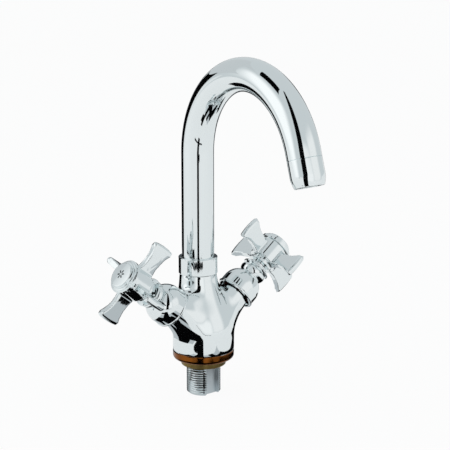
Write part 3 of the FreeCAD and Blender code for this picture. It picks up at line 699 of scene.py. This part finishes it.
def makeHandle(side):
    h = handle
    barrel = turnPiece(side + "HandleArmsChromed",
                       [(h["sleeve"], h["barrelLow"]), (h["barrelRadius"], h["barrelLow"]),
                        (h["barrelRadius"], h["barrelTop"] + 0.2), (h["sleeve"], h["barrelTop"] + 0.2)])
    arms = []
    first = handleArm()
    for i in range(4):
        copy = first.copy()
        copy.data = first.data.copy()
        bpy.context.collection.objects.link(copy)
        copy.matrix_world = Matrix.Rotation(math.pi / 2 * i, 4, "Z")
        settle(copy)
        arms.append(copy)
    bpy.data.objects.remove(first)
    selectOnly(barrel, *arms)
    bpy.ops.object.join()
    applyModifier(barrel, "REMESH", mode="VOXEL", voxel_size=h["voxel"] * mm)
    applyModifier(barrel, "SMOOTH", factor=0.5, iterations=h["smoothing"])
    cleanMesh(barrel)
    shadeSmooth(barrel, 60)
    putOnArm(barrel, side, turned=True)
    mount(barrel, side + "_control", side + "_handle", "chrome_plate")

    rim, rimTop = h["rimRadius"], h["barrelTop"] + h["rimHeight"]
    low, skirtTop = h["low"], h["low"] + h["skirtHeight"]
    face = rimTop + 2 * h["stepHeight"]
    stepOne, stepTwo = rim - h["stepIn"], rim - 2 * h["stepIn"]
    outline = [(h["stemBore"], low), (h["skirtRadius"], low), (h["skirtRadius"], skirtTop),
               (h["grooveRadius"], skirtTop), (h["grooveRadius"], h["barrelLow"] + 0.1),
               (h["sleeve"] - 0.1, h["barrelLow"] + 0.1), (h["sleeve"] - 0.1, h["barrelTop"] + 0.1),
               (h["barrelRadius"] - 0.3, h["barrelTop"] + 0.1), (h["barrelRadius"] + 0.1, h["barrelTop"]),
               (rim, h["barrelTop"]), (rim, rimTop),
               (stepOne, rimTop), (stepOne, rimTop + h["stepHeight"]),
               (stepTwo, rimTop + h["stepHeight"]), (stepTwo, face), (h["recess"], face),
               (h["recess"], h["recessFloor"]), (h["stemBore"], h["recessFloor"])]
    hub = turnPiece(side + "HandleHubChromed", outline)
    softenEdges(hub, 0.4, 4)
    putOnArm(hub, side, turned=True)
    mount(hub, side + "_control", side + "_handle", "chrome_plate")
    print(side, "handle made:", len(barrel.data.polygons), "faces")


def makeIndexCap(side):
    cap = {"radius": 9.7, "low": 95.0, "height": 1.5, "edge": 0.6, "plug": 6.95, "plugLow": 91.6,
           "plugWall": 2.0, "crown": 0.25}
    r, low, high, e = cap["radius"], cap["low"], cap["low"] + cap["height"], cap["edge"]
    plugBore = cap["plug"] - cap["plugWall"]
    outline = [(0, low), (plugBore, low), (plugBore, cap["plugLow"]), (cap["plug"], cap["plugLow"]),
               (cap["plug"], low), (r, low)]
    outline += arc((r - e, high - e - cap["crown"]), e, 0, 85, 6)
    crown = 8
    outline += [((r - e) * (1 - i / crown), high - cap["crown"] * (1 - i / crown) ** 2)
                for i in range(crown + 1)]
    piece = turnPiece(side + "IndexCapChromed", outline, closed=False)
    shadeSmooth(piece, 35, weighted=True)
    putOnArm(piece, side, turned=True)
    mount(piece, side + "_control", side + "_index_cap", "chrome_plate")


def makeIndexMark(side):
    # generic marks let into the caps: a six-petalled snow crystal for cold, a small sun for hot
    mark = {"cold": {"rays": 6, "length": 2.9, "width": 1.25, "inner": 0.8, "disc": 0},
            "hot": {"rays": 8, "length": 1.5, "width": 0.8, "inner": 2.0, "disc": 1.3}}[side]
    top, depth = 96.5, 0.35
    pieces = []
    for i in range(mark["rays"]):
        clearSelection()
        bpy.ops.mesh.primitive_cylinder_add(vertices=24, radius=0.5 * mm, depth=depth * mm)
        petal = bpy.context.object
        petal.scale = (mark["length"], mark["width"], 1)
        settle(petal)
        petal.matrix_world = (Matrix.Rotation(2 * math.pi * i / mark["rays"], 4, "Z")
                              @ Matrix.Translation(((mark["inner"] + mark["length"] / 2) * mm, 0, 0)))
        settle(petal)
        pieces.append(petal)
    if mark["disc"]:
        clearSelection()
        bpy.ops.mesh.primitive_cylinder_add(vertices=32, radius=mark["disc"] * mm, depth=depth * mm)
        pieces.append(bpy.context.object)
    selectOnly(*pieces)
    if len(pieces) > 1:
        bpy.ops.object.join()
    whole = bpy.context.object
    whole.name = side + "IndexMark"
    whole.matrix_world = Matrix.Translation((0, 0, (top - depth / 2) * mm))
    settle(whole)
    putOnArm(whole, side, turned=True)
    mount(whole, side + "_control", side + "_index_cap", "chrome_plate", finish=darkEnamel)


for side in ("hot", "cold"):
    makeHandle(side)
    makeIndexCap(side)
    makeIndexMark(side)
print("handles and index marks made")


def setMaterial(name, color, lit=False):
    # lit: a wall, or the grey disc of painted shade round the foot, that is evenly lit to this colour
    material, _, shader = startMaterial(name)
    shader.inputs["Base Color"].default_value = linearColor("#000000" if lit else color)
    shader.inputs["Emission Color"].default_value = linearColor(color)
    shader.inputs["Emission Strength"].default_value = 1 if lit else 0
    shader.inputs["Roughness"].default_value = 0.9
    shader.inputs["Specular IOR Level"].default_value = 0
    return material


def seamlessPaper():
    # white paper that the camera sees nearly evenly white, with the tap's shadow still on it
    paper = {"color": "#F8F8F8", "cameraShare": 0.92, "mirrorShare": 0.55}
    material = setMaterial("White seamless paper", paper["color"])
    tree = material.node_tree
    light = addNode(tree, "ShaderNodeLightPath")
    toCamera = addNode(tree, "ShaderNodeMath", {"operation": "MULTIPLY"})
    tree.links.new(light.outputs["Is Camera Ray"], toCamera.inputs[0])
    toCamera.inputs[1].default_value = paper["cameraShare"]
    share = addNode(tree, "ShaderNodeMath", {"operation": "MULTIPLY_ADD"})
    tree.links.new(light.outputs["Is Glossy Ray"], share.inputs[0])
    share.inputs[1].default_value = paper["mirrorShare"]
    tree.links.new(toCamera.outputs[0], share.inputs[2])
    glow = addNode(tree, "ShaderNodeEmission", {"Color": (1, 1, 1, 1), "Strength": 1.0})
    mixed = addNode(tree, "ShaderNodeMixShader", {}, {"Fac": share.outputs[0]})
    tree.links.new(tree.nodes["Principled BSDF"].outputs[0], mixed.inputs[1])
    tree.links.new(glow.outputs[0], mixed.inputs[2])
    tree.links.new(mixed.outputs[0], tree.nodes["Material Output"].inputs["Surface"])
    return material


def fromCamera(across, away, height):
    # a place in the studio, in millimetres: to the right of the camera's line, away from it and up
    turn = math.radians(shot["azimuth"])
    return Vector((math.cos(turn) * across - math.sin(turn) * away,
                   math.sin(turn) * across + math.cos(turn) * away, height)) * mm


def addCard(name, place, size, material, turn=0, tilt=0):
    # a card on a stand, which only the chrome shows
    clearSelection()
    bpy.ops.mesh.primitive_plane_add(size=1)
    card = bpy.context.object
    card.name = name
    card.scale = (size[0] * mm, size[1] * mm, 1)
    settle(card)
    card.matrix_world = (Matrix.Translation(fromCamera(*place))
                         @ Matrix.Rotation(math.radians(shot["azimuth"] + turn), 4, "Z")
                         @ Matrix.Rotation(math.radians(90 - tilt), 4, "X"))
    card.visible_camera = card.visible_diffuse = card.visible_shadow = False
    card.data.materials.append(material)


# heights are in millimetres, and a softbox level of 1 is white
studio = {"roomColor": "#D2D7D9", "leftLevel": 1.12, "frontLevel": 0.98, "rightLevel": 0.92, "fade": 0.3,
          "tapMiddle": 120, "floor": -28.1, "footShadeDisc": -27.9, "farCloth": -27.6, "footShadeCards": -27.5,
          "farAway": 392}


def addSoftbox(name, place, size, level):
    # a cloth-fronted softbox turned to the tap, which fades to the room towards its edges
    clearSelection()
    bpy.ops.mesh.primitive_plane_add(size=1)
    box = bpy.context.object
    box.name = name
    box.scale = (size[0] * mm, size[1] * mm, 1)
    settle(box)
    place = fromCamera(*place)
    facing = (Vector((0, 0, studio["tapMiddle"] * mm)) - place).to_track_quat("Z", "Y")
    box.matrix_world = Matrix.Translation(place) @ facing.to_matrix().to_4x4()
    material, tree, _ = startMaterial(name + "Cloth")
    across = addNode(tree, "ShaderNodeTexCoord")
    parts = addNode(tree, "ShaderNodeSeparateXYZ", {}, {"Vector": across.outputs["Generated"]})
    fades = []
    for axis in ("X", "Y"):
        middle = addNode(tree, "ShaderNodeMath", {"operation": "SUBTRACT"})
        tree.links.new(parts.outputs[axis], middle.inputs[0])
        middle.inputs[1].default_value = 0.5
        out = addNode(tree, "ShaderNodeMath", {"operation": "ABSOLUTE"})
        tree.links.new(middle.outputs[0], out.inputs[0])
        fading = {"interpolation_type": "SMOOTHSTEP", "From Min": 0.5, "From Max": 0.5 - studio["fade"]}
        fades.append(addNode(tree, "ShaderNodeMapRange", fading, {"Value": out.outputs[0]}))
    both = addNode(tree, "ShaderNodeMath", {"operation": "MULTIPLY"})
    for i in range(2):
        tree.links.new(fades[i].outputs["Result"], both.inputs[i])
    glow = addNode(tree, "ShaderNodeMix", {"data_type": "RGBA"}, {"Factor": both.outputs[0]})
    glow.inputs[6].default_value = linearColor(studio["roomColor"])
    glow.inputs[7].default_value = (level, level, level, 1)
    lamp = addNode(tree, "ShaderNodeEmission", {"Strength": 1.0}, {"Color": glow.outputs[2]})
    tree.links.new(lamp.outputs[0], tree.nodes["Material Output"].inputs["Surface"])
    box.data.materials.append(material)
    box.visible_camera = box.visible_shadow = False


def addStage():
    clearSelection()
    bpy.ops.mesh.primitive_plane_add(size=12, location=(0, 0, studio["floor"] * mm))
    floor = bpy.context.object
    floor.name = "studioFloor"
    floor.data.materials.append(seamlessPaper())
    world = bpy.data.worlds.new("studioWorld")
    bpy.context.scene.world = world
    world.use_nodes = True
    tree = world.node_tree
    light = addNode(tree, "ShaderNodeLightPath")
    wall = addNode(tree, "ShaderNodeMix", {"data_type": "RGBA"}, {"Factor": light.outputs["Is Camera Ray"]})
    wall.inputs[6].default_value = linearColor(studio["roomColor"])
    wall.inputs[7].default_value = (1, 1, 1, 1)
    tree.links.new(wall.outputs[2], tree.nodes["Background"].inputs["Color"])
    tree.nodes["Background"].inputs["Strength"].default_value = 1.0

    black = setMaterial("Black flag cloth and painted shade", "#060607")
    charcoal = setMaterial("Charcoal card", "#3C3E40")
    slate = setMaterial("Slate grey backdrop", "#5A5D60")
    wallGrey = setMaterial("Pale grey wall", "#CDD1D3", lit=True)
    footShadeGrey = setMaterial("Grey painted foot shade", "#BEC3C6", lit=True)
    addCard("frontFlag", (24, -270, 800), (88, 1400), black)
    addCard("frontFlagFoot", (12, -270, 50), (62, 104), black)
    addCard("topFlag", (-190, -92, 653), (260, 190), black, turn=-64, tilt=65)
    addCard("leftFlag", (-174, 180, 122), (182, 296), black, turn=-136)
    addCard("rightCard", (215, 400, 150), (90, 350), charcoal, turn=152)
    addCard("greyWall", (-740, 640, 840), (1300, 1100), wallGrey, turn=-131)
    # a grey disc under the foot, which only the chrome shows: painted shade on the floor round the foot
    addCard("footShadeDisc", (22, -2, studio["footShadeDisc"]), (186, 206), footShadeGrey, tilt=90)
    addCard("backdrop", (-40, 420, 110), (560, 274), slate)
    # black cards laid on the table round the foot, which only the chrome shows: painted shade round the
    # foot
    for name, place, size in (("footShadeFront", (-20, -102), (44, 165)),
                              ("footShadeFrontLeft", (-45, -143), (70, 44)),
                              ("footShadeNear", (27, -42), (176, 42)),
                              ("footShadeRight", (88, 45), (62, 214)),
                              ("footShadeBack", (100, 128), (122, 68)),
                              ("footShadePaddle", (48, -85), (34, 46)),
                              ("footShadeLeft", (-57, -25), (36, 74))):
        addCard(name, place + (studio["footShadeCards"],), size, black, tilt=90)
    for turn in (-18, 0, 18):
        swing, away = math.radians(turn), studio["farAway"]
        place = (away * math.sin(swing), -away * math.cos(swing), studio["farCloth"])
        addCard("clothFar", place, (150, 36), black, turn, 90)
    addSoftbox("leftSoftbox", (-900, -200, 420), (1300, 1300), studio["leftLevel"])
    addSoftbox("frontSoftbox", (250, -1300, 280), (2000, 1300), studio["frontLevel"])
    addSoftbox("rightSoftbox", (1150, -650, 440), (1700, 1500), studio["rightLevel"])


addStage()
bpy.context.scene.view_settings.view_transform = "Standard"
print("stage set")
